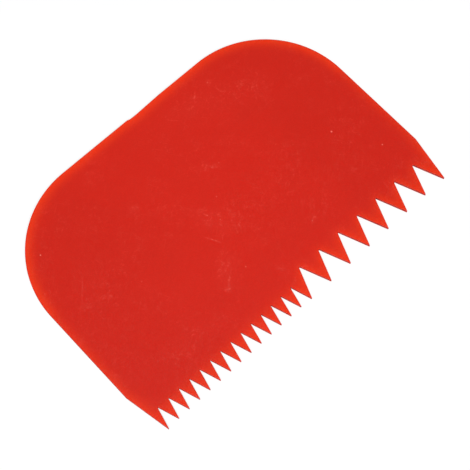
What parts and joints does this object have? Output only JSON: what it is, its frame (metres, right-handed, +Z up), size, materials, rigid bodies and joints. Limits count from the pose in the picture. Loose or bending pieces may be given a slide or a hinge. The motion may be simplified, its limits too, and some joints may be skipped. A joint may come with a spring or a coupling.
{
  "type": "cake comb",
  "caption": "Thin flat cake comb with a rounded back to hold and a straight row of V-shaped teeth, fine on one half and coarse on the other, for drawing ridges in icing.",
  "frame": {"origin": "middle of the bounding box on the underside of the plate, which lies flat", "axes": "+X along the row of teeth from the fine half to the coarse half, +Y from the teeth to the rounded back, +Z up out of the upper face"},
  "size_m": [0.118, 0.0792, 0.001],
  "materials": {
    "plate": "satin moulded polypropylene, slightly translucent at its edges"
  },
  "bodies": {
    "root": {"comb_plate": "plate"}
  },
  "joints": []
}
